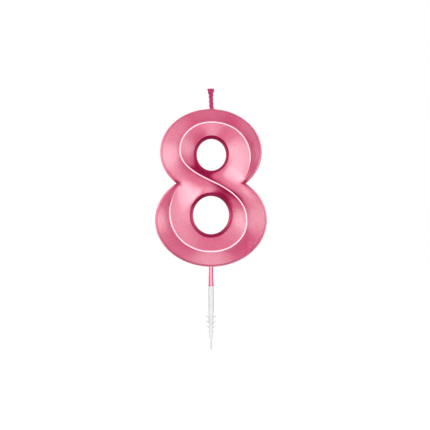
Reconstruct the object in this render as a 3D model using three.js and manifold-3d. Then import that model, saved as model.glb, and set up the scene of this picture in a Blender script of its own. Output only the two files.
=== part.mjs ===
// Number candle: a chiselled wax figure eight with a twisted cotton wick, on a lacquered stem
// that plugs into a barbed cake pick. Millimetres, +Z up, the front face looks along -Y.
// The origin is on the pick's axis, at the level of the cake's surface.
import * as THREE from 'three';
import { mergeVertices } from 'three/addons/utils/BufferGeometryUtils.js';
import Module from 'manifold-3d';

const wasm = await Module();
wasm.setup();

// Levels above the cake.
const rimZ = 4.1; // top of the pick
const stemShows = 8.6; // bare stem between the pick and the numeral
const numeralBottomZ = rimZ + stemShows;

// The numeral's outline is two overlapping ellipses, measured at the mould's parting plane.
const upper = { halfWidth: 22.55, halfHeight: 19.0 };
const lower = { halfWidth: 24.8, halfHeight: 20.7 };
const numeralHeight = 70;
lower.z = numeralBottomZ + lower.halfHeight;
upper.z = numeralBottomZ + numeralHeight - upper.halfHeight;
const numeralTopZ = upper.z + upper.halfHeight;

// Each loop's opening is an ellipse too: its centre's shift from the loop's centre, its size.
const upperHole = { x: 0.15, z: upper.z - 1.3, halfWidth: 6.55, halfHeight: 7.1, draft: 1.05 };
const lowerHole = { x: 0, z: lower.z + 2.2, halfWidth: 8.05, halfHeight: 8.55, draft: 1.3 };

// Depths from the parting plane, alike on the front and the back.
const edgeDepth = 3.6; // where the drafted walls meet the chiselled faces
const ridgeDepth = 7; // along the S-shaped ridge
const outlineDraft = 1; // how far the walls lean in on the way to the edge
const crestWidth = 0.5; // flat land along the ridge
const ridgeRise = 4.6; // a ridge point this far in from the outline is nearly at full depth
const riseEase = 0.3; // how gently, as a share of that, the climb ends

// A soft valley runs from each opening to the notch beside it and a little past the notch.
const valleySoftness = 2.8;
const valleyPull = 2.2;
const valleyStep = 0.4;
const rightValleyEnd = new THREE.Vector2(15.4, 43.6);
const leftValleyEnd = new THREE.Vector2(-17.6, 47.2);

// How finely the curves and the faces between them are divided.
const outlineSteps = 84;
const outlineFineSteps = 260; // for measuring the distance to the outline
const ridgeSteps = 140;
const holeSteps = 44;
const crowding = 0.65; // points close up towards the notches by this much
const innerSpacing = 2.1;
const innerMargin = 1.7; // least distance from an inner point to a curve
const tieBreak = 1e-4; // a hair's shift, so that no four points share a circle

// The wick: three plies with an S twist, let into the top of the numeral and splayed at the end.
const wickShows = 9.1;
const wickSunk = 9;
const plyRadius = 0.44;
const plyOrbit = 0.55;
const plyPitch = 5.7;
const plySplay = 0.67;
const splayLength = 3.2;
const firstTipTurn = THREE.MathUtils.degToRad(210); // where, round the wick, the first ply ends
const plyLengthens = [0, 0.05, -0.12]; // the cut ends aren't level
const wickBore = 1.15;
const wickLean = [0.3, 0.1, 0, -0.1, -0.25]; // sideways drift from the root to the tip
const plySteps = 34;
const plySides = 5;

// The stem and the pick.
const round = 32;
const stemFoot = 1.29; // radius on the pick's rim
const stemNeck = 1.07; // radius where it enters the numeral
const anchorLength = 10.5;
const anchorRib = 1.45;
const anchorRibs = 3;
const anchorEnds = 1; // plain length below the first rib and above the last
const anchorCore = stemNeck - 0.12;
const ribLand = 0.5; // each rib's width at its rim
const ribRamp = 0.6; // and the slope that leads up to the next
const chamfer = 0.4;
const spigotRadius = 0.75;
const spigotLength = 12;
const clearance = 0.05;
const waxGap = 0.1;
const pickLength = 28.7;
const pickRadius = 1.3;
const barbTips = [-8.55, -10.6, -12.65, -14.75];
const barbReach = 2.3;
const barbDrop = 1.9; // from a barb's tip down to its root
const barbThickness = 0.9;
const barbRoot = 0.6; // radius at which a barb leaves the shaft's core
const barbFoot = 0.5; // a barb's width at its root
const barbSlim = 1.05; // height of a barb's body behind its tip
const barbCurveSteps = 6;
const socketDepth = spigotLength + 0.5;

const waxPink = new THREE.MeshStandardMaterial({ color: 0xe5698f, roughness: 0.38, metalness: 0.45 });
const wickPink = new THREE.MeshStandardMaterial({ color: 0xc93a6c, roughness: 0.9, metalness: 0 });
const stemPink = new THREE.MeshStandardMaterial({ color: 0xe88aa6, roughness: 0.25, metalness: 0.4 });
const pickWhite = new THREE.MeshStandardMaterial({ color: 0xebebef, roughness: 0.35, metalness: 0 });

function toSolid(geometry) {
  const bare = geometry.clone();
  bare.deleteAttribute('normal');
  bare.deleteAttribute('uv');
  const merged = mergeVertices(bare, 1e-4);
  const vertProperties = new Float32Array(merged.attributes.position.array);
  const triVerts = new Uint32Array(merged.index.array);
  return new wasm.Manifold(new wasm.Mesh({ numProp: 3, vertProperties, triVerts }));
}

function toGeometry(solid) {
  const mesh = solid.getMesh();
  const geometry = new THREE.BufferGeometry();
  geometry.setAttribute('position', new THREE.BufferAttribute(mesh.vertProperties, 3));
  geometry.setIndex(new THREE.BufferAttribute(mesh.triVerts, 1));
  geometry.computeVertexNormals();
  return geometry;
}

// A turned solid about the Z axis, from [radius, z] pairs that start and end on the axis.
function turned(profile) {
  const points = profile.map(([radius, z]) => new THREE.Vector2(radius, z));
  return new THREE.LatheGeometry(points, round).rotateX(Math.PI / 2);
}

function named(name, geometry, material) {
  const mesh = new THREE.Mesh(geometry, material);
  mesh.name = name;
  return mesh;
}

// ---- The numeral's curves, in the (x, z) plane ----

// Even steps from 0 to 1, closer together towards both ends.
function crowded(steps) {
  return Array.from({ length: steps + 1 }, (_, i) => {
    const t = i / steps;
    return t - (crowding * Math.sin(2 * Math.PI * t)) / (2 * Math.PI);
  });
}

function ellipse(centreX, centreZ, halfWidth, halfHeight, from = 0, to = 2 * Math.PI) {
  return new THREE.EllipseCurve(centreX, centreZ, halfWidth, halfHeight, from, to, to < from);
}

// The angle, on each of two ellipses in from the outline by a draft, of the right-hand notch.
function notchAngles(draft) {
  const a = new THREE.Vector2(upper.halfWidth - draft, upper.halfHeight - draft);
  const b = new THREE.Vector2(lower.halfWidth - draft, lower.halfHeight - draft);
  let low = -Math.PI / 2;
  let high = 0;
  for (let i = 0; i < 50; i++) {
    const angle = (low + high) / 2;
    const x = a.x * Math.cos(angle);
    const z = upper.z + a.y * Math.sin(angle) - lower.z;
    const inside = (x / b.x) ** 2 + (z / b.y) ** 2 < 1;
    if (inside) low = angle;
    else high = angle;
  }
  const onUpper = (low + high) / 2;
  const x = a.x * Math.cos(onUpper);
  const z = upper.z + a.y * Math.sin(onUpper) - lower.z;
  return { onUpper, onLower: Math.atan2(z / b.y, x / b.x), x, z: z + lower.z };
}

// The outline's two arcs: over the top from the right notch to the left, and round the bottom back.
function outlineArcs(draft, steps = outlineSteps) {
  const { onUpper, onLower } = notchAngles(draft);
  const top = ellipse(0, upper.z, upper.halfWidth - draft, upper.halfHeight - draft,
    onUpper, Math.PI - onUpper);
  const bottom = ellipse(0, lower.z, lower.halfWidth - draft, lower.halfHeight - draft,
    Math.PI - onLower, 2 * Math.PI + onLower);
  return [top, bottom].map((arc) => crowded(steps).map((t) => arc.getPointAt(t)));
}

function holeRing(hole, draft) {
  const ring = ellipse(hole.x, hole.z, hole.halfWidth + draft, hole.halfHeight + draft);
  return ring.getPoints(holeSteps).slice(0, holeSteps);
}

// The ridge: one S from the right notch, over the upper loop, down the diagonal, round the lower
// loop and up to the left notch. Each knot has its place, its direction and its two handles.
function ridgePath() {
  const notch = notchAngles(outlineDraft);
  const knots = [
    { x: notch.x, z: notch.z, heading: 57, back: 0, on: 2.4 },
    { x: 16.95, z: 60.6, heading: 90, back: 5.1, on: 8.95 },
    { x: 0, z: 76.1, heading: 180, back: 10, on: 7.9 },
    { x: -13.6, z: 64.1, heading: 270, back: 6.4, on: 5 },
    { x: 0.5, z: 50.3, heading: 335.4, back: 12.1, on: 12.4 },
    { x: 15.45, z: 33.1, heading: 270, back: 6.5, on: 7.85 },
    { x: 0, z: 19.75, heading: 180, back: 8.5, on: 10.3 },
    { x: -18, z: 37, heading: 90, back: 10.2, on: 5.2 },
    { x: -notch.x, z: notch.z, heading: 56, back: 3.1, on: 0 },
  ];
  const handle = (knot, length) => {
    const turn = THREE.MathUtils.degToRad(knot.heading);
    return [knot.x + length * Math.cos(turn), knot.z + length * Math.sin(turn)];
  };
  const path = new THREE.Path().moveTo(knots[0].x, knots[0].z);
  for (let i = 1; i < knots.length; i++) {
    const from = handle(knots[i - 1], knots[i - 1].on);
    const to = handle(knots[i], -knots[i].back);
    path.bezierCurveTo(...from, ...to, knots[i].x, knots[i].z);
  }
  return path;
}

function nearestTo(place, points) {
  return points.reduce((a, b) => (place.distanceTo(b) < place.distanceTo(a) ? b : a));
}

// Points along the ridge, with the depth at each: near the notches, where the outline comes
// close, the ridge sinks to the edge.
function ridgePoints(path) {
  const outline = outlineArcs(outlineDraft, outlineFineSteps).flat();
  return crowded(ridgeSteps).map((t) => {
    const place = path.getPointAt(t);
    const inward = place.distanceTo(nearestTo(place, outline)) / ridgeRise;
    const eased = inward - Math.max(0, inward - 1 + riseEase) ** 2 / (4 * riseEase);
    const climb = inward > 1 + riseEase ? 1 : eased;
    return {
      place,
      across: path.getTangentAt(t).rotateAround(new THREE.Vector2(), Math.PI / 2),
      depth: edgeDepth + (ridgeDepth - edgeDepth) * climb,
      halfCrest: (crestWidth / 2) * climb,
    };
  });
}

// Even steps along the valley from an opening, through the notch beside it, to its end.
function valleyPoints(ring, notch, end) {
  const foot = nearestTo(notch, ring);
  const bends = [foot, notch, end];
  const points = [];
  for (let i = 1; i < bends.length; i++) {
    const length = bends[i].distanceTo(bends[i - 1]);
    for (let along = 0; along < length; along += valleyStep) {
      points.push(bends[i - 1].clone().lerp(bends[i], along / length));
    }
  }
  return points;
}

// ---- The chiselled face ----

function encloses(loop, point) {
  let inside = false;
  loop.forEach((a, i) => {
    const b = loop[(i + 1) % loop.length];
    const spans = a.y > point.y !== b.y > point.y;
    if (spans && point.x < a.x + ((point.y - a.y) / (b.y - a.y)) * (b.x - a.x)) inside = !inside;
  });
  return inside;
}

// Depth between curves of known depth. A short piece of a curve counts by the angle it fills, as
// seen from the point, over its distance: even slopes between two curves, soft saddles elsewhere.
// The valley draws the depth towards the edge's without pinning it.
function depthAmong(curves, valley, point) {
  let sum = 0;
  let weight = 0;
  for (const place of valley) {
    const share = (valleyPull * valleyStep) / (place.distanceToSquared(point) + valleySoftness ** 2);
    weight += share;
    sum += share * edgeDepth;
  }
  for (const { points, depths } of curves) {
    for (let i = 1; i < points.length; i++) {
      const a = points[i - 1].clone().sub(point);
      const b = points[i].clone().sub(point);
      const angle = Math.atan2(Math.abs(a.cross(b)), a.dot(b));
      const share = (angle * points[i].distanceTo(points[i - 1])) / Math.abs(a.cross(b));
      weight += share;
      sum += (share * (depths[i - 1] + depths[i])) / 2;
    }
  }
  return sum / weight;
}

// Delaunay triangles of points in a plane, adding one point at a time.
function triangulate(points) {
  const count = points.length;
  const shifted = points.map((p, i) => {
    const shift = new THREE.Vector2(Math.sin(i * 7.3), Math.cos(i * 3.1));
    return p.clone().addScaledVector(shift, tieBreak);
  });
  const far = 1e4;
  shifted.push(new THREE.Vector2(-far, -far), new THREE.Vector2(far, -far), new THREE.Vector2(0, far));
  const circled = (corners) => {
    const [a, b, c] = corners.map((i) => shifted[i]);
    const ab = b.clone().sub(a);
    const ac = c.clone().sub(a);
    const twice = 2 * ab.cross(ac);
    const x = (ac.y * ab.lengthSq() - ab.y * ac.lengthSq()) / twice;
    const y = (ab.x * ac.lengthSq() - ac.x * ab.lengthSq()) / twice;
    return { corners, x: a.x + x, y: a.y + y, radiusSq: x * x + y * y };
  };
  let triangles = [circled([count, count + 1, count + 2])];
  for (let i = 0; i < count; i++) {
    const { x, y } = shifted[i];
    const kept = [];
    const rim = new Map();
    for (const triangle of triangles) {
      if ((triangle.x - x) ** 2 + (triangle.y - y) ** 2 > triangle.radiusSq) {
        kept.push(triangle);
        continue;
      }
      triangle.corners.forEach((a, side) => {
        const b = triangle.corners[(side + 1) % 3];
        if (!rim.delete(`${b} ${a}`)) rim.set(`${a} ${b}`, [a, b]);
      });
    }
    triangles = kept.concat([...rim.values()].map(([a, b]) => circled([a, b, i])));
  }
  return triangles.map((triangle) => triangle.corners).filter((c) => Math.max(...c) < count);
}

// The face's plan: its points, each one's depth, its triangles, and its boundary loops.
function chiselledFace() {
  const [top, bottom] = outlineArcs(outlineDraft);
  const rings = [upperHole, lowerHole].map((hole) => holeRing(hole, hole.draft));
  const ridge = ridgePoints(ridgePath());
  const ridgeLine = ridge.map((r) => r.place);
  const level = (points) => ({ points, depths: points.map(() => edgeDepth) });
  const crest = { points: ridgeLine, depths: ridge.map((r) => r.depth) };
  const closed = rings.map((ring) => level([...ring, ring[0]]));
  const insideS = [crest, closed[0], level(bottom)]; // the side that holds the upper hole
  const outsideS = [crest, closed[1], level(top)];
  const rightValley = valleyPoints(rings[0], top[0], rightValleyEnd);
  const leftValley = valleyPoints(rings[1], bottom[0], leftValleyEnd);
  const insideLoop = [...ridgeLine, ...bottom];

  const outline = [...top.slice(0, -1), ...bottom.slice(0, -1)];
  const plan = [...outline, ...rings[0], ...rings[1]];
  const depths = plan.map(() => edgeDepth);
  ridge.slice(1, -1).forEach((r) => {
    for (const side of [-1, 1]) {
      plan.push(r.place.clone().addScaledVector(r.across, side * r.halfCrest));
      depths.push(r.depth);
    }
  });
  const onCurves = [...plan];
  const rowHeight = (innerSpacing * Math.sqrt(3)) / 2;
  for (let row = 0; row * rowHeight < numeralHeight; row++) {
    for (let x = -lower.halfWidth; x < lower.halfWidth; x += innerSpacing) {
      const point = new THREE.Vector2(x + ((row % 2) * innerSpacing) / 2, numeralBottomZ + row * rowHeight);
      const clear = onCurves.every((p) => p.distanceTo(point) > innerMargin);
      const onFace = encloses(outline, point) && !rings.some((ring) => encloses(ring, point));
      if (clear && onFace) {
        plan.push(point);
        const inside = encloses(insideLoop, point);
        const depth = inside
          ? depthAmong(insideS, rightValley, point)
          : depthAmong(outsideS, leftValley, point);
        depths.push(depth);
      }
    }
  }
  const triangles = triangulate(plan).filter((corners) => {
    const middle = new THREE.Vector2();
    corners.forEach((i) => middle.addScaledVector(plan[i], 1 / 3));
    return encloses(outline, middle) && !rings.some((ring) => encloses(ring, middle));
  });
  const numbers = (length, start) => Array.from({ length }, (_, i) => start + i);
  const loops = [
    numbers(outline.length, 0),
    numbers(holeSteps, outline.length).reverse(),
    numbers(holeSteps, outline.length + holeSteps).reverse(),
  ];
  return { plan, depths, triangles, loops };
}

// The wax figure: the face, its mirror image behind, and walls that meet at the parting plane.
function numeralShell() {
  const { plan, depths, triangles, loops } = chiselledFace();
  const [top, bottom] = outlineArcs(0);
  const parting = [
    ...top.slice(0, -1),
    ...bottom.slice(0, -1),
    ...holeRing(upperHole, 0),
    ...holeRing(lowerHole, 0),
  ];
  const back = plan.length;
  const middle = 2 * plan.length;
  const positions = [
    ...plan.map((p, i) => [p.x, -depths[i], p.y]),
    ...plan.map((p, i) => [p.x, depths[i], p.y]),
    ...parting.map((p) => [p.x, 0, p.y]),
  ];
  const faces = [];
  for (const [a, b, c] of triangles) {
    faces.push([a, b, c], [back + a, back + c, back + b]);
  }
  for (const loop of loops) {
    loop.forEach((a, i) => {
      const b = loop[(i + 1) % loop.length];
      faces.push([b, a, middle + a], [b, middle + a, middle + b]);
      faces.push([middle + b, middle + a, back + a], [middle + b, back + a, back + b]);
    });
  }
  const geometry = new THREE.BufferGeometry();
  geometry.setAttribute('position', new THREE.Float32BufferAttribute(positions.flat(), 3));
  geometry.setIndex(faces.flat());
  return geometry;
}

// ---- The stem, with a spigot below its foot and ribs that hold it in the wax ----

function stemProfile(gap) {
  const profile = [];
  const anchorTop = numeralBottomZ + anchorLength;
  const ribPitch = (anchorLength - 2 * anchorEnds) / anchorRibs;
  for (let i = 0; i < anchorRibs; i++) {
    const ribZ = numeralBottomZ + 2 * anchorEnds + i * ribPitch;
    profile.push([anchorCore + gap, ribZ - gap]);
    profile.push([anchorRib + gap, ribZ - gap]);
    profile.push([anchorRib + gap, ribZ + ribLand]);
    profile.push([anchorCore + gap, ribZ + ribLand + ribRamp + gap]);
  }
  profile.push([anchorCore + gap, anchorTop - chamfer]);
  profile.push([anchorCore - chamfer + gap, anchorTop + gap]);
  profile.push([0, anchorTop + gap]);
  return profile;
}

function stem() {
  const foot = rimZ + clearance;
  return turned([
    [0, rimZ - spigotLength],
    [spigotRadius - chamfer / 2, rimZ - spigotLength],
    [spigotRadius, rimZ - spigotLength + chamfer],
    [spigotRadius, foot],
    [stemFoot, foot],
    [stemNeck, numeralBottomZ],
    ...stemProfile(0),
  ]);
}

function numeralBody() {
  const wickCutter = turned([
    [0, numeralTopZ - wickSunk - waxGap],
    [wickBore, numeralTopZ - wickSunk - waxGap],
    [wickBore, numeralTopZ + 1],
    [0, numeralTopZ + 1],
  ]).translate(wickLean[0], 0, 0);
  const stemCutter = turned([
    [0, numeralBottomZ - 1],
    [stemNeck + waxGap, numeralBottomZ - 1],
    [stemNeck + waxGap, numeralBottomZ + 1],
    ...stemProfile(waxGap),
  ]);
  const shell = toSolid(numeralShell());
  return toGeometry(shell.subtract(toSolid(wickCutter)).subtract(toSolid(stemCutter)));
}

// ---- The wick ----

class PlyCurve extends THREE.Curve {
  constructor(phase, lengthen) {
    super();
    this.phase = phase;
    this.length = wickSunk + wickShows + lengthen;
    this.lean = new THREE.CatmullRomCurve3(wickLean.map((x, i) => {
      return new THREE.Vector3(x, 0, i);
    }));
  }

  getPoint(t, target = new THREE.Vector3()) {
    const along = t * this.length;
    const shown = Math.max(0, along - wickSunk) / wickShows;
    const drift = this.lean.getPoint(Math.min(1, shown)).x;
    const opened = Math.max(0, 1 - (this.length - along) / splayLength);
    const orbit = plyOrbit + plySplay * opened ** 2;
    const turn = this.phase - (2 * Math.PI * along) / plyPitch;
    return target.set(
      drift + orbit * Math.cos(turn),
      orbit * Math.sin(turn),
      numeralTopZ - wickSunk + along,
    );
  }
}

function ply(phase, lengthen) {
  const section = new THREE.Shape().absarc(0, 0, plyRadius, 0, 2 * Math.PI);
  return new THREE.ExtrudeGeometry(section, {
    extrudePath: new PlyCurve(phase, lengthen),
    steps: plySteps,
    curveSegments: plySides,
  });
}

// ---- The cake pick ----

// The shaft swells from a blunt point, in [radius, height above the tip] pairs, to its rim.
function pickShaft() {
  const tip = rimZ - pickLength;
  const taper = [[0, 0], [0.38, 0.12], [0.58, 0.45], [0.66, 1.2], [1.0, 7.7], [1.2, 17.05]];
  return turned([
    ...taper.map(([radius, above]) => [radius, tip + above]),
    [pickRadius, rimZ - spigotLength / 2],
    [pickRadius, rimZ],
    [0, rimZ],
  ]);
}

// One barb: a thin hook that leaves the shaft, curves up and out, and ends in a point.
function barb(side, tipZ) {
  const rootZ = tipZ - barbDrop;
  const bodyX = barbRoot + barbFoot;
  const shape = new THREE.Shape()
    .moveTo(side * barbRoot, rootZ - barbFoot)
    .lineTo(side * bodyX, rootZ)
    .quadraticCurveTo(side * barbReach, tipZ - barbSlim, side * barbReach, tipZ)
    .quadraticCurveTo(side * (barbReach - barbFoot), tipZ - barbSlim / 2, side * bodyX, tipZ - barbSlim)
    .lineTo(side * barbRoot, tipZ - barbSlim);
  const fin = new THREE.ExtrudeGeometry(shape, {
    depth: barbThickness,
    bevelEnabled: false,
    curveSegments: barbCurveSteps,
  });
  return fin.translate(0, 0, -barbThickness / 2).rotateX(Math.PI / 2);
}

function cakePick() {
  let pick = toSolid(pickShaft());
  for (const tipZ of barbTips) {
    for (const side of [-1, 1]) {
      pick = pick.add(toSolid(barb(side, tipZ)));
    }
  }
  const bore = spigotRadius + clearance;
  const socket = turned([
    [0, rimZ - socketDepth],
    [bore, rimZ - socketDepth + chamfer],
    [bore, rimZ + 1],
    [0, rimZ + 1],
  ]);
  return toGeometry(pick.subtract(toSolid(socket)));
}

const candle = new THREE.Group();
candle.add(named('numeral_body', numeralBody(), waxPink));
plyLengthens.forEach((lengthen, i) => {
  const turns = i / plyLengthens.length + (wickSunk + wickShows) / plyPitch;
  const phase = firstTipTurn + turns * 2 * Math.PI;
  candle.add(named(`wick_ply_${i + 1}`, ply(phase, lengthen), wickPink));
});
candle.add(named('stem', stem(), stemPink));
candle.add(named('cake_pick', cakePick(), pickWhite));

export default candle;
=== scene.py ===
import math

import bmesh
import bpy
import numpy as np
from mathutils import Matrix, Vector, geometry, kdtree, noise


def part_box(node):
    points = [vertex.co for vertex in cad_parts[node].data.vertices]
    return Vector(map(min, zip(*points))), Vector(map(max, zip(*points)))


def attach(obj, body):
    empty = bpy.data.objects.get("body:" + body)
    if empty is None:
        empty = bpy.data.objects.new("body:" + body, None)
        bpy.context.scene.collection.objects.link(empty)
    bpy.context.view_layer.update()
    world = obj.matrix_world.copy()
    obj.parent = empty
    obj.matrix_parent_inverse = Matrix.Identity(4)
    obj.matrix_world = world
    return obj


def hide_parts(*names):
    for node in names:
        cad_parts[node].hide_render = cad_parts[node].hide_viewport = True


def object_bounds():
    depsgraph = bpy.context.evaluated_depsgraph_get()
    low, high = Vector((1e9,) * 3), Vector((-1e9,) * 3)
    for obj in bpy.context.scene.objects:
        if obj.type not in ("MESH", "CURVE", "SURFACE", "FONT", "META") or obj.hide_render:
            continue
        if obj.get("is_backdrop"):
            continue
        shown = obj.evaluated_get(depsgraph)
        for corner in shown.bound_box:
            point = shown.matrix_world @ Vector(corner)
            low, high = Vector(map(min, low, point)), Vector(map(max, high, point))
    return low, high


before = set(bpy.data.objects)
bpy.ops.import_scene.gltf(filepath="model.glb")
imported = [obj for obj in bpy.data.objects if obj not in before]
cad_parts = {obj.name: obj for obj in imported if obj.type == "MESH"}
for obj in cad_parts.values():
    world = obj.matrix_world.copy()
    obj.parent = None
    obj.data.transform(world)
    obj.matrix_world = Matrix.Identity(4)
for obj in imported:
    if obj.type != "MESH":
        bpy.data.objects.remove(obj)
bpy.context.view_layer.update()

mm = 0.001
print("frame loaded:", sorted(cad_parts))


# camera: level and almost square on to the numeral, close enough to show its openings' walls

cameraSetup = {
    "distance": 315 * mm,
    "fieldWidth": 191.2 * mm,  # what the frame takes in at the candle
    "aim": (1.76 * mm, 0, 35.65 * mm),
    "sidestep": -6 * mm,  # a little left of the aim, so a sliver of the left wall shows
}


def makeCamera(setup):
    data = bpy.data.cameras.new("camera")
    data.sensor_width = 36
    data.lens = data.sensor_width * setup["distance"] / setup["fieldWidth"]
    data.clip_start = 0.01
    camera = bpy.data.objects.new("camera", data)
    aim = Vector(setup["aim"])
    camera.location = aim + Vector((setup["sidestep"], -setup["distance"], 0))
    camera.rotation_euler = (aim - camera.location).to_track_quat("-Z", "Y").to_euler()
    bpy.context.scene.collection.objects.link(camera)
    bpy.context.scene.camera = camera


makeCamera(cameraSetup)


# small helpers for meshes

def meshObject(name, points, faces):
    mesh = bpy.data.meshes.new(name)
    mesh.from_pydata([tuple(p) for p in points], [], faces)
    mesh.validate()
    mesh.shade_smooth()
    piece = bpy.data.objects.new(name, mesh)
    bpy.context.scene.collection.objects.link(piece)
    return piece


def outwardFaces(piece):
    work = bmesh.new()
    work.from_mesh(piece.data)
    bmesh.ops.recalc_face_normals(work, faces=work.faces)
    work.to_mesh(piece.data)
    work.free()


def roundedProfile(corners, radius, steps=4):
    # the corners of a turned profile, each eased by a small curve; the two ends stay put
    points = [Vector(corners[0])]
    for before, corner, after in zip(corners, corners[1:], corners[2:]):
        before, corner, after = Vector(before), Vector(corner), Vector(after)
        ease = min(radius, (corner - before).length * 0.45, (after - corner).length * 0.45)
        start = corner + (before - corner).normalized() * ease
        end = corner + (after - corner).normalized() * ease
        for i in range(steps + 1):
            t = i / steps
            points.append(start * (1 - t) ** 2 + corner * 2 * t * (1 - t) + end * t * t)
    points.append(Vector(corners[-1]))
    return points


def turnedMesh(name, profile, segments):
    # profile runs from axis to axis, in millimetres
    inner = profile[1:-1]
    points = []
    for p in inner:
        for i in range(segments):
            turn = 2 * math.pi * i / segments
            points.append((p[0] * math.cos(turn) * mm, p[0] * math.sin(turn) * mm, p[1] * mm))
    faces = []
    for row in range(len(inner) - 1):
        for i in range(segments):
            j = (i + 1) % segments
            a, b = row * segments, (row + 1) * segments
            faces.append((a + i, a + j, b + j, b + i))
    for end, row in ((profile[0], 0), (profile[-1], len(inner) - 1)):
        points.append((0, 0, end[1] * mm))
        hub = len(points) - 1
        for i in range(segments):
            faces.append((hub, row * segments + i, row * segments + (i + 1) % segments))
    piece = meshObject(name, points, faces)
    outwardFaces(piece)
    return piece


def sweptTube(centres, sectionAt, segments, side=Vector((0, 1, 0))):
    # points and faces of a closed tube: sectionAt(i, angle) gives a place across and along side
    points, faces = [], []
    last = len(centres) - 1
    for i, centre in enumerate(centres):
        ahead = centres[min(i + 1, last)] - centres[max(i - 1, 0)]
        across = side.cross(ahead).normalized()
        side = ahead.cross(across).normalized()
        for k in range(segments):
            u, v = sectionAt(i / last, 2 * math.pi * k / segments)
            points.append(centre + across * u + side * v)
        if i:
            for k in range(segments):
                n = (k + 1) % segments
                a, b = (i - 1) * segments, i * segments
                faces.append((a + k, a + n, b + n, b + k))
    faces.append(tuple(range(segments))[::-1])
    faces.append(tuple(last * segments + k for k in range(segments)))
    return points, faces


def merged(parts):
    points, faces = [], []
    for somePoints, someFaces in parts:
        shift = len(points)
        points += somePoints
        faces += [tuple(i + shift for i in face) for face in someFaces]
    return points, faces


# the numeral's plan, in millimetres, seen from the front

numeral = {
    "bottom": 12.7,
    "height": 70,
    "upperRadii": (22.55, 19.0),
    "lowerRadii": (24.8, 20.7),
    # draft: how much wider the solid is at the parting plane than at the face. The pairs give the
    # painted shade near the face and then further in: thin darkens steep and wall parts,
    # deep is further painted shade inside the openings; wall paints the outer wall paler, as painted
    # light.
    "outline": {"draft": 1.0, "thin": (0.3, 0.0), "deep": (0.0, 0.0), "wall": 1},
    "upperHole": {"x": 0.15, "below": 1.3, "radii": (6.55, 7.1),
                  "draft": 1.05, "thin": (1.0, 0.8), "deep": (1.0, 0.4), "wall": 0},
    "lowerHole": {"x": 0, "below": -2.2, "radii": (8.05, 8.55),
                  "draft": 1.3, "thin": (1.0, 0.8), "deep": (0.35, 0.14), "wall": 0},
    "edgeDepth": 3.6,  # from the parting plane to the edges of a face
    "crestHalf": 0.25,
    "crestEase": 0.1,
    "crestDrop": 0.012,
    "crestFlank": 0.45,
    "ridgeSteps": 460,
    "ridgeRise": 4.6,  # a ridge point this far in from the outline is almost at full depth
    "riseEase": 0.3,
    "valleySoftness": 2.8,
    "valleyPull": 2.2,
    "valleyStep": 0.4,
    "valleyLength": 14,
    "valleyPast": {1: (15.4, 43.6), -1: (-17.6, 47.2)},  # where each runs on to, past its notch
    "ridgeStop": 0.12,  # the ridge ends this far inside the outline
    "edgeRows": (0.14, 0.4),  # rows of points this far in from every edge
    "edgeClear": 0.5,  # and no nearer than this to the ridge
    "grain": 0.55,  # spacing of the points between the curves
    "grainClear": 0.62,  # how much of that spacing they keep to the points on the curves
    "wallRows": (0.96, 0.88, 0.6, 0.3, 0.05, 0.02),  # shares of the way from parting plane to face
    "flash": 0.07,  # the fine line where the mould parts stands out by this
    "shadeReach": 0.85,  # beyond this share a wall row counts as near the face
    "deepReach": 0.5,
    "notchShade": 1.5,  # painted shade reaches about this far round the notches
    "shadeFromTilt": 39,  # degrees of tilt at which painted shade begins to darken a face
    "shadeOverTilt": 12,
}
numeral["ridgeDepth"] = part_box("numeral_body")[1].y / mm
numeral["lowerZ"] = numeral["bottom"] + numeral["lowerRadii"][1]
numeral["upperZ"] = numeral["bottom"] + numeral["height"] - numeral["upperRadii"][1]
numeral["top"] = numeral["bottom"] + numeral["height"]
loopNames = ("outline", "upperHole", "lowerHole")


def crowded(steps, crowding=0.65):
    # shares from 0 to 1 that stand closer together at both ends
    t = np.arange(steps + 1) / steps
    return t - crowding * np.sin(2 * np.pi * t) / (2 * np.pi)


def spaced(line, shares):
    # points at the given shares of a fine line's length
    along = np.r_[0, np.cumsum(np.hypot(*np.diff(line, axis=0).T))]
    return np.c_[[np.interp(shares * along[-1], along, line[:, k]) for k in (0, 1)]].T


def ellipse(centre, radii, start, end, count=2000):
    turn = np.linspace(start, end, count)
    return np.c_[centre[0] + radii[0] * np.cos(turn), centre[1] + radii[1] * np.sin(turn)]


def notch(draft):
    # angle of the right-hand notch on each ellipse, and its place
    a = [r - draft for r in numeral["upperRadii"]]
    b = [r - draft for r in numeral["lowerRadii"]]
    low, high = -math.pi / 2, 0
    for _ in range(50):
        turn = (low + high) / 2
        x = a[0] * math.cos(turn)
        z = numeral["upperZ"] + a[1] * math.sin(turn) - numeral["lowerZ"]
        if (x / b[0]) ** 2 + (z / b[1]) ** 2 < 1:
            low = turn
        else:
            high = turn
    return turn, math.atan2(z / b[1], x / b[0]), (x, z + numeral["lowerZ"])


def outlineArcs(draft, steps=260):
    onUpper, onLower, _ = notch(draft)
    a = [r - draft for r in numeral["upperRadii"]]
    b = [r - draft for r in numeral["lowerRadii"]]
    top = ellipse((0, numeral["upperZ"]), a, onUpper, math.pi - onUpper)
    bottom = ellipse((0, numeral["lowerZ"]), b, math.pi - onLower, 2 * math.pi + onLower)
    return [spaced(arc, crowded(steps)) for arc in (top, bottom)]


def holeRing(name, draft, steps=110):
    hole = numeral[name]
    middle = numeral["upperZ" if name == "upperHole" else "lowerZ"] - hole["below"]
    radii = [r + draft for r in hole["radii"]]
    return ellipse((hole["x"], middle), radii, 0, 2 * math.pi, steps + 1)[:-1]


def edgeLoop(name, draft):
    if name == "outline":
        return np.concatenate([arc[:-1] for arc in outlineArcs(draft)])
    return holeRing(name, draft)


def edgeLoops(inward=0):
    # the outline and both openings, as they lie on the face or a little in from its edges
    return [edgeLoop(name, numeral[name]["draft"] + inward) for name in loopNames]


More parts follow.
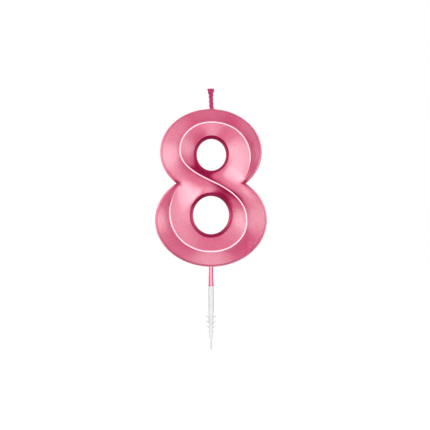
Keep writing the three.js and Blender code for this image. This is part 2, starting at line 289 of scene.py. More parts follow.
def ridgeLine():
    # one S: right notch, over the upper loop, down the diagonal, round the lower, left notch
    x, z = notch(numeral["outline"]["draft"])[2]
    knots = [
        # x, z, heading in degrees, reach back, reach on
        (x, z, 57, 0, 2.4),
        (16.95, 60.6, 90, 5.1, 8.95),
        (0, 76.1, 180, 10, 7.9),
        (-13.6, 64.1, 270, 6.4, 5),
        (0.5, 50.3, 335.4, 12.1, 12.4),
        (15.45, 33.1, 270, 6.5, 7.85),
        (0, 19.75, 180, 8.5, 10.3),
        (-18, 37, 90, 10.2, 5.2),
        (-x, z, 56, 3.1, 0),
    ]
    line = []
    for (ax, az, aim, _, on), (bx, bz, arrive, back, _) in zip(knots, knots[1:]):
        a, b = Vector((ax, az)), Vector((bx, bz))
        out = Vector((math.cos(math.radians(aim)), math.sin(math.radians(aim))))
        into = Vector((math.cos(math.radians(arrive)), math.sin(math.radians(arrive))))
        line += geometry.interpolate_bezier(a, a + out * on, b - into * back, b, 200)[:-1]
    return np.array([tuple(p[:2]) for p in line] + [(-x, z)])


def encloses(loop, points):
    inside = np.zeros(len(points), bool)
    for (ax, ay), (bx, by) in zip(loop, np.roll(loop, -1, axis=0)):
        if ay == by:
            continue
        spans = (ay > points[:, 1]) != (by > points[:, 1])
        inside ^= spans & (points[:, 0] < ax + (points[:, 1] - ay) / (by - ay) * (bx - ax))
    return inside


def onFace(points, loops):
    outline, *rings = loops
    inside = encloses(outline, points)
    for ring in rings:
        inside &= ~encloses(ring, points)
    return inside


def nearest(loop, points):
    # distance from each point to the nearest corner of a loop
    return np.hypot(*(points[:, None] - loop[None]).transpose(2, 0, 1)).min(1)


def ridgeClimb(ridge, outline):
    # 0 on the outline, 1 well in from it, with an eased shoulder
    ease = numeral["riseEase"]
    climb = nearest(outline, ridge) / numeral["ridgeRise"]
    eased = climb - np.maximum(0, climb - 1 + ease) ** 2 / (4 * ease)
    return np.where(climb > 1 + ease, 1, eased)


def heightAmong(curves, valley, points):
    # a short piece of a curve counts by the angle it fills over its distance
    total = np.zeros(len(points))
    weight = np.zeros(len(points))
    pull = numeral["valleyPull"] * numeral["valleyStep"]
    for place in valley:
        share = pull / (((points - place) ** 2).sum(1) + numeral["valleySoftness"] ** 2)
        weight += share
        total += share * numeral["edgeDepth"]
    for line, depths in curves:
        length = np.hypot(*np.diff(line, axis=0).T)
        middle = (depths[1:] + depths[:-1]) / 2
        for some in np.array_split(np.arange(len(points)), 1 + len(points) // 800):
            a = line[None, :-1] - points[some, None]
            b = line[None, 1:] - points[some, None]
            cross = np.abs(a[..., 0] * b[..., 1] - a[..., 1] * b[..., 0]) + 1e-12
            share = np.arctan2(cross, (a * b).sum(2)) * length / cross
            weight[some] += share.sum(1)
            total[some] += share @ middle
    return total / weight


def valleyFrom(hole, corner, past):
    # from the nearest point of an opening, through a notch's corner, and a little beyond
    foot = hole[np.argmin(np.hypot(*(hole - corner).T))]
    shares = np.arange(0, 1, numeral["valleyStep"] / numeral["valleyLength"])
    return spaced(np.array([foot, corner, past]), shares)


def latticeAmong(taken, loops):
    # even points all over the face, clear of the points already taken
    tree = kdtree.KDTree(len(taken))
    for i, (x, z) in enumerate(taken):
        tree.insert((x, z, 0), i)
    tree.balance()
    step = numeral["grain"]
    rise = step * math.sqrt(3) / 2
    width = numeral["lowerRadii"][0]
    lattice = []
    for row in range(int(numeral["height"] / rise) + 1):
        z = numeral["bottom"] + row * rise
        for x in np.arange(-width + (row % 2) * step / 2, width, step):
            if tree.find((x, z, 0))[2] > step * numeral["grainClear"]:
                lattice.append((x, z))
    lattice = np.array(lattice)
    return lattice[onFace(lattice, loops)]


class Plan:
    # points of the face, with their depths, crest marks, and the edges that tie them together
    def __init__(self):
        self.points = np.empty((0, 2))
        self.depth = np.empty(0)
        self.crest = np.empty(0)
        self.edges = []

    def add(self, line, depth=np.nan, crest=0, pairs=()):
        # without a depth, a point waits to be blended among the curves
        first = len(self.points)
        self.points = np.r_[self.points, line]
        self.depth = np.r_[self.depth, np.broadcast_to(depth, len(line))]
        self.crest = np.r_[self.crest, np.broadcast_to(crest, len(line))]
        self.edges += [(first + i, first + j) for i, j in pairs]


def chiselledPlan():
    edge = numeral["edgeDepth"]
    draft = numeral["outline"]["draft"]
    loops = edgeLoops()
    outline, *rings = loops
    ridge = spaced(ridgeLine(), crowded(numeral["ridgeSteps"]))
    climb = ridgeClimb(ridge, outline)
    ridgeDepth = edge + (numeral["ridgeDepth"] - edge) * climb
    ahead = np.gradient(ridge, axis=0)
    ahead /= np.hypot(*ahead.T)[:, None]
    across = np.c_[-ahead[:, 1], ahead[:, 0]]

    def offset(amount):
        return ridge + across * (amount * climb)[:, None]

    plan = Plan()
    for loop in loops:
        n = len(loop)
        plan.add(loop, edge, pairs=[(i, (i + 1) % n) for i in range(n)])

    half, ease = numeral["crestHalf"], numeral["crestEase"]
    within = edgeLoop("outline", draft + numeral["ridgeStop"])
    crestRows = [
        # distance from the ridge's middle, drop below it, crest mark (where the painted highlight
        # goes), least climb
        (0, 0, 1, 0.02),
        (half - ease, 0, 1, 0.1),
        (half, numeral["crestDrop"], 0.75, 0.1),
        (half + ease, np.nan, 0, 0.1),
        (half + numeral["crestFlank"], np.nan, 0, 0.1),
    ]
    for amount, drop, mark, least in crestRows:
        for side in ((-1, 1) if amount else (1,)):
            line = offset(side * amount)
            keep = (climb > least) & encloses(within, line)
            index = np.where(keep)[0]
            pairs = [(i, i + 1) for i, gap in enumerate(np.diff(index)) if gap == 1]
            plan.add(line[keep], (ridgeDepth - drop * climb)[keep], mark * climb[keep], pairs)
    for inward in numeral["edgeRows"]:
        for loop in edgeLoops(inward):
            plan.add(loop[nearest(ridge, loop) > numeral["edgeClear"]])
    plan.add(latticeAmong(plan.points, loops))

    top, bottom = outlineArcs(draft)
    waiting = np.where(np.isnan(plan.depth))[0]
    inner = encloses(np.r_[ridge, bottom], plan.points[waiting])
    upper, lower = [np.r_[ring, ring[:1]] for ring in rings]
    for which, sign, hole, arc, corner in (
        (waiting[inner], 1, upper, bottom, top[0]),
        (waiting[~inner], -1, lower, top, top[-1]),
    ):
        curves = [(offset(sign * half), ridgeDepth)]
        curves += [(line, np.full(len(line), edge)) for line in (hole, arc)]
        valley = valleyFrom(hole, corner, numeral["valleyPast"][sign])
        plan.depth[which] = heightAmong(curves, valley, plan.points[which])
    return plan, loops


def numeralSkin():
    plan, loops = chiselledPlan()
    made, _, tris, origin, _, _ = geometry.delaunay_2d_cdt(
        [Vector(p) for p in plan.points], plan.edges, [], 0, 1e-5)
    flat = np.array([tuple(p) for p in made])
    source = [found[0] for found in origin]
    place = np.empty(len(plan.points), int)
    for i, found in enumerate(origin):
        place[found] = i
    tris = np.array(tris)
    tris = tris[onFace(flat[tris].mean(1), loops)]

    count = len(flat)
    points = [(x * mm, -d * mm, z * mm) for (x, z), d in zip(flat, plan.depth[source])]
    points += [(x, -y, z) for x, y, z in points]
    faces = [tuple(t) for t in tris] + [tuple(count + i for i in t[::-1]) for t in tris]
    crest = list(plan.crest[source]) * 2
    thin = [None] * len(points)  # painted shade, worked out from the tilt of the face, below
    wall = [0.0] * len(points)
    deep = [0.0] * len(points)
    # painted shade along the outer front edge
    for i in range(len(loops[0])):
        thin[place[i]] = thin[count + place[i]] = numeral["outline"]["thin"][0]

    # walls: rows from the front edge to the back edge
    shares = numeral["wallRows"]
    levels = [(s, 0) for s in shares] + [(0, numeral["flash"])] + [(-s, 0) for s in shares[::-1]]
    corner = notch(0)[2]
    first = 0
    for name, loop in zip(loopNames, loops):
        setup = numeral[name]
        n = len(loop)
        frontRow = [int(place[first + i]) for i in range(n)]
        rows = [frontRow]
        for share, flash in levels:
            ring = edgeLoop(name, setup["draft"] * abs(share) - flash)
            rows.append([len(points) + i for i in range(n)])
            points += [(x * mm, -share * numeral["edgeDepth"] * mm, z * mm) for x, z in ring]
            # painted shade round the notches: the darker tone, and none of the outer wall's painted
            # light
            fromNotch = np.hypot(np.abs(ring[:, 0]) - corner[0], ring[:, 1] - corner[1])
            inNotch = np.exp(-(fromNotch / numeral["notchShade"]) ** 2)
            crest += [0.0] * n
            thin += list(np.maximum(inNotch, setup["thin"][abs(share) < numeral["shadeReach"]]))
            wall += list(setup["wall"] * (1 - inNotch))
            deep += [setup["deep"][abs(share) < numeral["deepReach"]]] * n
        rows.append([count + i for i in frontRow])
        if first:
            rows = [row[::-1] for row in rows]
        for above, below in zip(rows, rows[1:]):
            for i in range(n):
                j = (i + 1) % n
                faces.append((above[j], above[i], below[i], below[j]))
        first += n

    piece = meshObject("numeral_skin", points, faces)
    # painted shade on the steep parts of both faces, by their tilt away from the front
    for i, vertex in enumerate(piece.data.vertices):
        if thin[i] is None:
            tilt = math.degrees(math.acos(min(1, abs(vertex.normal.y))))
            thin[i] = min(1, max(0, (tilt - numeral["shadeFromTilt"]) / numeral["shadeOverTilt"]))
    for name, values in (("crest", crest), ("thin", thin), ("wall", wall), ("deep", deep)):
        mark = piece.data.attributes.new(name, "FLOAT", "POINT")
        mark.data.foreach_set("value", np.array(values, np.float32))
    return piece


skin = numeralSkin()
print("numeral:", len(skin.data.vertices), "points")


# the wick: three plies of yarn, each a bundle of finer threads, splayed at the cut end

wick = {
    "shows": 8.65,
    "sunk": 9,
    "plyRadius": 0.46,
    "orbit": 0.55,
    "pitch": 5.7,
    "splay": 0.67,
    "splayLength": 3.2,
    "swell": 0.4,  # the plies fluff out towards their ends
    "tipTurn": math.radians(210),  # where, round the wick, the first ply ends
    "lengthen": (0, 0.1, 0.45),
    "lean": (0.3, 0.1, 0, -0.1, -0.25),
    "threads": 7,
    "threadDepth": 0.055,
    "threadPitch": 2.4,  # the yarn's own twist runs the other way
    "fuzz": 0.02,
    "capFrom": 0.3,  # a cut end rounds off over this length
    "cap": 0.32,
    "capShrink": 0.3,
    "steps": 150,
    "tuftThreads": 9,
    "tuftLength": 0.2,
    "tuftThread": 0.085,  # radius of a loose thread
    "tuftTaper": 0.75,  # share of that radius lost at its end
    "tuftCurl": 0.55,
    "tuftRoot": 0.45,  # its root lies this far down inside the ply
    "tuftClear": 0.3,  # and it climbs by this much besides its length
    "tuftRings": (0.08, 0.24),
}


def catmull(values, t):
    # a smooth curve through evenly spaced values, t from 0 to 1
    place = min(t, 1) * (len(values) - 1)
    i = min(int(place), len(values) - 2)
    u = place - i
    b, c = values[i], values[i + 1]
    a = values[i - 1] if i else 2 * b - c
    d = values[i + 2] if i + 2 < len(values) else 2 * c - b
    square = (2 * a - 5 * b + 4 * c - d) * u ** 2
    cube = (3 * b - a - 3 * c + d) * u ** 3
    return 0.5 * (2 * b + (c - a) * u + square + cube)


def splayAt(left):
    # 0 down the wick, 1 at a ply's tip, from the length that is left to the tip
    return max(0, 1 - left / wick["splayLength"])


def plyCentre(along, length, phase):
    shown = max(0, along - wick["sunk"]) / wick["shows"]
    orbit = wick["orbit"] + wick["splay"] * splayAt(length - along) ** 2
    turn = phase - 2 * math.pi * along / wick["pitch"]
    return Vector((
        catmull(wick["lean"], shown) + orbit * math.cos(turn),
        orbit * math.sin(turn),
        numeral["top"] - wick["sunk"] + along,
    )) * mm


def looseThreads(index, centres):
    # thread ends fanned out from a ply's tip
    ahead = (centres[-1] - centres[-4]).normalized()
    middle = Vector((catmull(wick["lean"], 1) * mm, 0, centres[-1].z))
    outward = (centres[-1] - middle).normalized()
    side = ahead.cross(outward).normalized()

    def section(share, angle):
        r = wick["tuftThread"] * (1 - wick["tuftTaper"] * share ** 3)
        return r * math.cos(angle) * mm, r * math.sin(angle) * mm

    threads = []
    for k in range(wick["tuftThreads"]):
        turn = 2 * math.pi * k / wick["tuftThreads"] + index
        ring = wick["tuftRings"][min(1, k % 3)]
        root = centres[-1] - ahead * wick["tuftRoot"] * mm
        root = root + (outward * math.cos(turn) + side * math.sin(turn)) * ring * mm
        lean = outward * (0.5 + 0.4 * math.cos(turn)) + side * 0.5 * math.sin(turn)
        reach = wick["tuftLength"] * (0.75 + 0.25 * math.sin(3.7 * k + index))
        path = []
        for i in range(9):
            t = i / 8
            curl = lean * reach * wick["tuftCurl"] * t * t
            path.append(root + (ahead * t * (reach + wick["tuftClear"]) + curl) * mm)
        threads.append(sweptTube(path, section, 8, side=side))
    return threads


def wickPly(index):
    height = wick["sunk"] + wick["shows"]
    length = height + wick["lengthen"][index]
    phase = wick["tipTurn"] + 2 * math.pi * (index / 3 + height / wick["pitch"])
    steps = wick["steps"]
    centres = [plyCentre(length * i / steps, length, phase) for i in range(steps + 1)]

    def section(share, turn):
        left = length - share * length
        twist = 2 * math.pi * share * length / wick["threadPitch"]
        groove = abs(math.sin(wick["threads"] * (turn + twist) / 2))
        end = math.sqrt(max(0, 1 - max(0, (wick["capFrom"] - left) / wick["cap"]) ** 2))
        fuzz = noise.noise(Vector((turn * 2, share * 60, index * 9))) * wick["fuzz"]
        r = wick["plyRadius"] - wick["threadDepth"] * (1 - groove) + fuzz
        r *= 1 - wick["capShrink"] * (1 - end)
        r *= 1 + wick["swell"] * splayAt(left)
        return r * math.cos(turn) * mm, r * math.sin(turn) * mm

    parts = [sweptTube(centres, section, 42), *looseThreads(index, centres)]
    piece = meshObject(f"wick_yarn_{index + 1}", *merged(parts))
    outwardFaces(piece)
    return piece


plies = [wickPly(i) for i in range(3)]
print("wick:", sum(len(p.data.vertices) for p in plies), "points")


# wax drawn up round the wick's root

waxCollar = {
    "radius": 1.75,
    "lip": 0.93,  # radius at its top
    "height": 0.55,
    "sink": 0.12,  # its foot starts this far inside the wax
    "buried": 0.9,
    "flare": 0.1,
    "dish": 0.6,  # radius of the hollow between the plies
    "dishDepths": (0.1, 0.2),  # at that radius and in the middle
    "wobble": ((0.07, 2, 0.6), (0.05, 5, 0)),  # size, waves in a turn, phase
}


def makeCollar(setup):
    top = numeral["top"]
    floor = top - setup["buried"]
    brim = top + setup["height"]
    profile = [(0, floor), (setup["radius"] + setup["flare"], floor)]
    for i in range(13):
        turn = i / 12 * math.pi / 2
        profile.append((setup["radius"] + (setup["lip"] - setup["radius"]) * math.sin(turn),
                        top - setup["sink"] + setup["height"] * (1 - math.cos(turn))))
    rimDip, middleDip = setup["dishDepths"]
    profile += [(setup["dish"], brim - rimDip), (0, brim - middleDip)]
    piece = turnedMesh("wick_wax_collar", profile, 64)
    shift = wick["lean"][0] * mm
    for vertex in piece.data.vertices:
        around = math.atan2(vertex.co.y, vertex.co.x)
        wobble = 1 + sum(size * math.sin(waves * around + phase)
                         for size, waves, phase in setup["wobble"])
        vertex.co.x = vertex.co.x * wobble + shift
        vertex.co.y = vertex.co.y * wobble
    return piece


collar = makeCollar(waxCollar)


# the stem: spigot, foot, bare taper, ribbed anchor in the wax

stemSizes = {
    "foot": 1.29,
    "neck": 1.07,
    "taperSteps": 8,
    "anchor": 10.5,
    "anchorCore": 0.95,
    "anchorEnds": 2,
    "rib": 1.45,
    "ribs": 3,
    "ribLand": 0.5,
    "ribRamp": 0.6,
    "spigot": 0.75,
    "spigotTip": 0.5,
    "spigotLength": 12,
    "chamfer": 0.4,
    "clearance": 0.05,
    "rounding": 0.09,
}
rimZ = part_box("cake_pick")[1].z / mm


def makeStem(setup):
    foot = rimZ + setup["clearance"]
    low = rimZ - setup["spigotLength"]
    neckZ = numeral["bottom"]
    spigot = setup["spigot"]
    corners = [(0, low), (setup["spigotTip"], low), (spigot, low + setup["chamfer"]), (spigot, foot)]
    for i in range(setup["taperSteps"] + 1):
        t = i / setup["taperSteps"]
        corners.append((setup["foot"] + (setup["neck"] - setup["foot"]) * t,
                        foot + (neckZ - foot) * t))
    core = setup["anchorCore"]
    pitch = (setup["anchor"] - setup["anchorEnds"]) / setup["ribs"]
    for i in range(setup["ribs"]):
        z = neckZ + setup["anchorEnds"] + i * pitch
        land = z + setup["ribLand"]
        corners += [(core, z), (setup["rib"], z), (setup["rib"], land)]
        corners.append((core, land + setup["ribRamp"]))
    end = neckZ + setup["anchor"]
    corners += [(core, end - setup["chamfer"]), (core - setup["chamfer"], end), (0, end)]
    return turnedMesh("stem_lacquered", roundedProfile(corners, setup["rounding"]), 72)


stem = makeStem(stemSizes)


# the cake pick: a tapered shaft with a socket, and four pairs of barbs

pick = {
    "length": 28.7,
    "radius": 1.3,
    "tip": ((0, 0), (0.38, 0.12), (0.58, 0.45), (0.66, 1.2), (1.0, 7.7)),  # radius, height
    "underBarbs": 1.2,  # radius of the shaft where the barbs begin
    "overBarbs": 1,  # and how far that is above the first barb's tip
    "straight": 6,  # length of the shaft's even upper part
    "socketEase": 0.05,
    "socketDeeper": (0.2, 0.5),  # than the spigot, at its wall and at its middle
    "rounding": 0.12,
    "barbTips": (-8.55, -10.6, -12.65, -14.75),
    "barbLine": ((0.45, -2.0), (1.5, -1.55), (2.2, -0.75), (2.26, -0.04)),  # out, above the tip
    "barbHalf": 0.5,
    "barbSteps": 18,
    "barbNarrows": 0.4,  # share of its width lost by its tip
    "thickness": 0.9,
    "thicknessKept": 0.35,  # share of its thickness kept at the very tip
    "squareness": 0.4,  # 1 for an ellipse, 0 for a sharp bar
    "weld": 0.004 * mm,  # points closer than this, left where barb meets shaft, become one
    "sharp": 50,
}


def makeShaft():
    tip = rimZ - pick["length"]
    socket = stemSizes["spigot"] + pick["socketEase"]
    deep = rimZ - stemSizes["spigotLength"]
    wallRoom, middleRoom = pick["socketDeeper"]
    corners = [(radius, tip + height) for radius, height in pick["tip"]]
    corners += [(pick["underBarbs"], pick["barbTips"][0] + pick["overBarbs"]),
                (pick["radius"], rimZ - pick["straight"]), (pick["radius"], rimZ),
                (socket, rimZ), (socket, deep - wallRoom), (0, deep - middleRoom)]
    return turnedMesh("pick_moulded", roundedProfile(corners, pick["rounding"]), 72)


def makeBarb(side, tipZ):
    # from inside the shaft, out and up along a curve
    bends = [Vector((side * out, 0, tipZ + up)) for out, up in pick["barbLine"]]
    centres = [Vector(p) * mm for p in geometry.interpolate_bezier(*bends, pick["barbSteps"])]

    kept = pick["thicknessKept"]

    def squared(share):
        return math.copysign(abs(share) ** pick["squareness"], share)

    def section(share, turn):
        taper = math.sqrt(max(0.004, 1 - share ** 7))
        u = pick["barbHalf"] * taper * (1 - pick["barbNarrows"] * share)
        v = pick["thickness"] / 2 * (kept + (1 - kept) * taper)
        return u * squared(math.cos(turn)) * mm, v * squared(math.sin(turn)) * mm

    piece = meshObject("barb", *sweptTube(centres, section, 24))
    outwardFaces(piece)
    return piece


def makePick():
    shaft = makeShaft()
    barbs = [makeBarb(side, z) for z in pick["barbTips"] for side in (-1, 1)]
    for barb in barbs:
        join = shaft.modifiers.new("join", "BOOLEAN")
        join.operation = "UNION"
        join.solver = "EXACT"
        join.object = barb
    bpy.context.view_layer.update()
    evaluated = shaft.evaluated_get(bpy.context.evaluated_depsgraph_get())
    joined = bpy.data.meshes.new_from_object(evaluated)
    shaft.modifiers.clear()
    shaft.data = joined
    joined.name = "pick_moulded"
    for barb in barbs:
        bpy.data.objects.remove(barb)
    work = bmesh.new()
    work.from_mesh(joined)
    bmesh.ops.remove_doubles(work, verts=work.verts, dist=pick["weld"])
    bmesh.ops.triangulate(work, faces=work.faces)
    work.to_mesh(joined)
    work.free()
    joined.shade_smooth()
    joined.set_sharp_from_angle(angle=math.radians(pick["sharp"]))
    return shaft


cakePick = makePick()
print("stem and pick:", len(stem.data.vertices), len(cakePick.data.vertices), "points")


# materials

class Wire:
    # one output of a shader; sums on it add Math nodes
    def __init__(self, maker, socket):
        self.maker = maker
        self.socket = socket

    def sum(self, operation, first, second):
        return self.maker.add("ShaderNodeMath", {"operation": operation}, {0: first, 1: second})[0]

    def __add__(self, other):
        return self.sum("ADD", self, other)

    def __radd__(self, other):
        return self.sum("ADD", other, self)

    def __sub__(self, other):
        return self.sum("SUBTRACT", self, other)

    def __rsub__(self, other):
        return self.sum("SUBTRACT", other, self)

    def __mul__(self, other):
        return self.sum("MULTIPLY", self, other)

    def __rmul__(self, other):
        return self.sum("MULTIPLY", other, self)


class Maker:
    def __init__(self, name):
        self.material = bpy.data.materials.new(name)
        self.material.use_nodes = True
        self.tree = self.material.node_tree
        self.shader = self.tree.nodes["Principled BSDF"]
        self.place = Wire(self, self.tree.nodes.new("ShaderNodeTexCoord").outputs["Object"])

    def put(self, socket, value):
        if isinstance(value, Wire):
            self.tree.links.new(value.socket, socket)
        elif hasattr(value, "__len__") and len(value) == 3 and socket.type == "RGBA":
            socket.default_value = (*value, 1)
        else:
            socket.default_value = value

    def add(self, kind, settings, values):
        node = self.tree.nodes.new(kind)
        for name, value in settings.items():
            setattr(node, name, value)
        for name, value in values.items():
            self.put(node.inputs[name], value)
        return {key: Wire(self, s) for i, s in enumerate(node.outputs) for key in (i, s.name)}

    def surface(self, **values):
        for name, value in values.items():
            self.put(self.shader.inputs[name.replace("_", " ")], value)

    def noise(self, scale, detail=2, roughness=0.5, where=None):
        values = {"Vector": where or self.place, "Scale": scale,
                  "Detail": detail, "Roughness": roughness}
        return self.add("ShaderNodeTexNoise", {}, values)["Fac"]

    def cells(self, scale):
        return self.add("ShaderNodeTexVoronoi", {}, {"Vector": self.place, "Scale": scale})["Color"]

    def stretch(self, x, y, z):
        return self.add("ShaderNodeVectorMath", {"operation": "MULTIPLY"},
                        {0: self.place, 1: (x, y, z)})["Vector"]

    def between(self, amount, low, high):
        # the stretch from low to high, brought to 0 and 1
        return self.add("ShaderNodeMapRange", {"clamp": True},
                        {"Value": amount, "From Min": low, "From Max": high})["Result"]

    def mix(self, amount, first, second, blend="MIX"):
        return self.add("ShaderNodeMix", {"data_type": "RGBA", "blend_type": blend},
                        {0: amount, 6: first, 7: second})[2]

    def attribute(self, name):
        return self.add("ShaderNodeAttribute", {"attribute_name": name}, {})["Fac"]

    def bump(self, height, distance, strength=1.0, over=None):
        values = {"Height": height, "Distance": distance, "Strength": strength}
        if over:
            values["Normal"] = over
        return self.add("ShaderNodeBump", {}, values)["Normal"]


def fromHex(text):
    shares = [int(text[i:i + 2], 16) / 255 for i in (0, 2, 4)]
    return tuple(c / 12.92 if c <= 0.04045 else ((c + 0.055) / 1.055) ** 2.4 for c in shares)


pearl = {
    "colour": (0.7, 0.014, 0.14),
    "paler": (0.74, 0.025, 0.16),
    "deeper": (0.66, 0.008, 0.12),
    # painted highlight along the ridge's crest
    "crest": fromHex("f0a3b6"),
    "crestHighlightShare": 0.8,
    "bare": (0.52, 0.001, 0.12),  # painted shade: steep faces, the outer front edge, the openings' walls, the notches
    "deep": (0.5, 0.0, 0.11),  # painted shade inside the openings
    # painted light: a paler pink on the outer wall
    "wall": (0.93, 0.1, 0.28),
    "speckle": (fromHex("c6c6c6"), fromHex("ffffff")),
    "speckleShare": 0.9,
    "metal": 0.9,
    "roughness": 0.34,
    "shadeRougher": 0.2,
    "wallRougher": 0.35,
    "deepRougher": 0.5,
    "grain": 1750,  # grains in a metre
    "flakes": 2450,
    "grainBump": 0.05 * mm,
    "waveBump": 0.05 * mm,
}


def pearlWax(setup):
    m = Maker("pearl pink wax")
    clouds = m.noise(130, 3)
    grain = m.noise(setup["grain"], 3, 0.8)
    flakes = m.add("ShaderNodeSeparateColor", {}, {0: m.cells(setup["flakes"])})["Red"]
    crest, thin, wall, deep = [m.attribute(n) for n in ("crest", "thin", "wall", "deep")]

    tone = m.mix(m.between(clouds, 0.3, 0.7), setup["deeper"], setup["paler"])
    tone = m.mix(0.5, tone, setup["colour"])
    speckle = m.mix(m.between(grain, 0.35, 0.65), *setup["speckle"])
    tone = m.mix(setup["speckleShare"], tone, speckle, "MULTIPLY")
    # painted shade where thin is set: steep faces, the outer edge, the openings' walls, the notches
    tone = m.mix(thin, tone, setup["bare"])
    # painted highlight along the ridge's crest
    tone = m.mix(m.between(crest, 0.2, 0.9) * setup["crestHighlightShare"], tone, setup["crest"])
    # painted light: the outer wall paler than the faces
    tone = m.mix(wall, tone, setup["wall"])
    # painted shade inside the openings, strongest in the upper one
    tone = m.mix(deep, tone, setup["deep"])

    rough = setup["roughness"] + (grain - 0.5) * 0.12 + (flakes - 0.5) * 0.08
    rough = rough + (clouds - 0.5) * 0.06
    rough = rough + thin * setup["shadeRougher"] + wall * setup["wallRougher"]
    rough = rough + deep * setup["deepRougher"]

    ripple = m.bump(m.noise(60, 2), setup["waveBump"], 0.6)
    normal = m.bump(grain * 0.6 + flakes * 0.4, setup["grainBump"], over=ripple)
    m.surface(Base_Color=tone, Metallic=m.between(thin, 0, 0.6) * setup["metal"],
              Roughness=rough, Normal=normal, IOR=2.6)
    return m.material


cotton = {
    "shadow": (0.32, 0.0, 0.07),
    "thread": (0.55, 0.02, 0.15),
    "light": (0.78, 0.22, 0.36),
}


def wickCotton(setup):
    m = Maker("waxed cotton, dyed pink")
    fibres = m.noise(3800, 3, 0.6, m.stretch(1, 1, 0.35))
    clumps = m.noise(900, 2)
    tone = m.mix(m.between(clumps, 0.35, 0.65), setup["shadow"], setup["thread"])
    tone = m.mix(m.between(fibres, 0.45, 0.8), tone, setup["light"])
    normal = m.bump(fibres, 0.05 * mm, 0.8)
    m.surface(Base_Color=tone, Roughness=0.7 + (fibres - 0.5) * 0.3, Normal=normal,
              Specular_IOR_Level=0.2)
    return m.material


lacquer = {"colour": (0.55, 0.008, 0.1), "worn": (0.6, 0.02, 0.13), "roughness": 0.1}


def stemLacquer(setup):
    m = Maker("pink lacquer on plastic")
    streaks = m.noise(900, 3, 0.6, m.stretch(1, 1, 0.2))
    specks = m.noise(3400, 1)
    tone = m.mix(m.between(streaks, 0.35, 0.75) * 0.5, setup["colour"], setup["worn"])
    rough = setup["roughness"] + (streaks - 0.5) * 0.08
    normal = m.bump(streaks * 0.7 + specks * 0.3, 0.008 * mm)
    m.surface(Base_Color=tone, Roughness=rough, Normal=normal, IOR=2.1)
    return m.material


plastic = {"colour": (0.64, 0.64, 0.66), "shade": (0.62, 0.62, 0.642), "roughness": 0.5}


def pickPlastic(setup):
    m = Maker("white moulded plastic")
    flow = m.noise(420, 3, 0.55, m.stretch(1, 1, 0.3))
    fine = m.noise(5200, 2)
    tone = m.mix(m.between(flow, 0.3, 0.75), setup["colour"], setup["shade"])
    rough = setup["roughness"] + (flow - 0.5) * 0.16
    normal = m.bump(flow * 0.8 + fine * 0.2, 0.01 * mm)
    m.surface(Base_Color=tone, Roughness=rough, Normal=normal, Specular_IOR_Level=0.1)
    return m.material


waxLook = pearlWax(pearl)
for piece, look, slot, body, stands in (
    (skin, waxLook, "pearl_wax", "candle", ["numeral_body"]),
    (collar, waxLook, "pearl_wax", "candle", []),
    (stem, stemLacquer(lacquer), "stem_lacquer", "candle", ["stem"]),
    (cakePick, pickPlastic(plastic), "pick_plastic", "pick", ["cake_pick"]),
):
    piece.data.materials.append(look)
    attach(piece, body)
    if stands:
        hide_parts(*stands)
cottonLook = wickCotton(cotton)
for i, piece in enumerate(plies):
    piece.data.materials.append(cottonLook)
    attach(piece, "candle")
    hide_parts(f"wick_ply_{i + 1}")
print("materials: done")


# stage: a white floor under a white sky, and soft boxes round the front

stage = {
    "floorDrop": 60 * mm,  # below the pick's tip
    "floorRadius": 1.6,
    "sky": 0.05,
    "boxSize": 0.25,
    "boxDistance": 0.45,
}
softBoxes = [
    # name, degrees away from the camera, degrees round it from the right, brightness
    ("front upper right", 20, 60, 3.4),
    ("front left", 20, 180, 2.8),
    ("front lower right", 20, 300, 5.8),
    ("right", 52, 0, 2.2),
    ("upper right", 60, 45, 1.1),
    ("above", 60, 90, 0.9),
    ("upper left", 60, 135, 1.3),
    ("left", 50, 180, 3.0),
    ("lower left", 60, 225, 0.6),
    ("below", 60, 270, 2.4),
    ("far lower right", 88, 315, 1.6),
    ("rear left", 110, 180, 3.0),
    ("rear right", 110, 0, 2.6),
    ("rear above", 110, 90, 1.6),
    ("rear below", 110, 270, 2.0),
    ("behind left", 150, 170, 3.4),
    ("behind right", 150, 10, 3.0),
    ("behind below", 165, 270, 1.5),
]
backdrop = {"brightness": 0.08, "size": 1.2, "behind": 0.5}


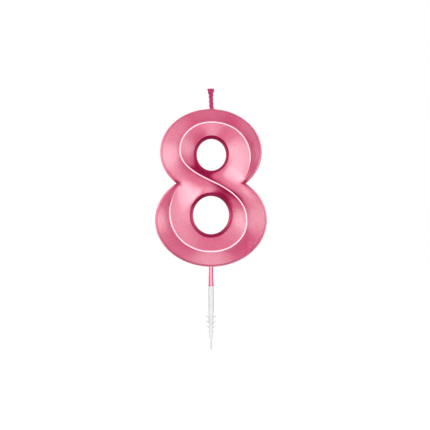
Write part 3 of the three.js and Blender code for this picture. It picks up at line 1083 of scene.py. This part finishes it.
def makeFloor(setup):
    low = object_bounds()[0].z - setup["floorDrop"]
    work = bmesh.new()
    bmesh.ops.create_circle(work, cap_ends=True, radius=setup["floorRadius"], segments=96)
    mesh = bpy.data.meshes.new("floor")
    work.to_mesh(mesh)
    work.free()
    floor = bpy.data.objects.new("floor", mesh)
    floor.location = (0, 0, low)
    bpy.context.scene.collection.objects.link(floor)
    m = Maker("white floor")
    m.surface(Base_Color=(0.85, 0.85, 0.85), Roughness=0.9, Emission_Color=(1, 1, 1),
              Emission_Strength=1.0)
    mesh.materials.append(m.material)
    floor.visible_diffuse = False  # seen by the camera, but lights nothing
    floor.visible_glossy = False
    floor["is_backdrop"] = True


def makeBackdrop(setup):
    # a lit screen behind the candle: only its edges and the stem's sides catch it
    data = bpy.data.lights.new("backdrop", "AREA")
    data.shape = "SQUARE"
    data.size = setup["size"]
    data.energy = setup["brightness"] * math.pi * setup["size"] ** 2
    light = bpy.data.objects.new("backdrop", data)
    light.location = (0, setup["behind"], (numeral["bottom"] + numeral["height"] / 2) * mm)
    light.rotation_euler = (math.radians(90), 0, math.radians(180))
    light.visible_camera = False
    bpy.context.scene.collection.objects.link(light)


def makeLight(name, tilt, turn, brightness):
    tilt, turn = math.radians(tilt), math.radians(turn)
    away = Vector((math.sin(tilt) * math.cos(turn), -math.cos(tilt), math.sin(tilt) * math.sin(turn)))
    centre = Vector((0, 0, (numeral["bottom"] + numeral["height"] / 2) * mm))
    data = bpy.data.lights.new(name, "AREA")
    data.shape = "SQUARE"
    data.size = stage["boxSize"]
    data.energy = brightness * math.pi * stage["boxSize"] ** 2
    light = bpy.data.objects.new(name, data)
    light.location = centre + away * stage["boxDistance"]
    light.rotation_euler = away.to_track_quat("Z", "Y").to_euler()
    bpy.context.scene.collection.objects.link(light)


def makeSky(strength):
    world = bpy.data.worlds.new("sky")
    world.use_nodes = True
    tree = world.node_tree
    background = tree.nodes["Background"]
    seen = tree.nodes.new("ShaderNodeBackground")
    background.inputs["Strength"].default_value = strength
    background.inputs["Color"].default_value = (1, 1, 1, 1)
    seen.inputs["Strength"].default_value = 1
    seen.inputs["Color"].default_value = (1, 1, 1, 1)
    path = tree.nodes.new("ShaderNodeLightPath")
    choice = tree.nodes.new("ShaderNodeMixShader")
    tree.links.new(path.outputs["Is Camera Ray"], choice.inputs["Fac"])
    tree.links.new(background.outputs["Background"], choice.inputs[1])
    tree.links.new(seen.outputs["Background"], choice.inputs[2])
    tree.links.new(choice.outputs["Shader"], tree.nodes["World Output"].inputs["Surface"])
    bpy.context.scene.world = world


makeFloor(stage)
for box in softBoxes:
    makeLight(*box)
makeBackdrop(backdrop)
makeSky(stage["sky"])
bpy.context.scene.view_settings.view_transform = "Standard"
print("stage: done")
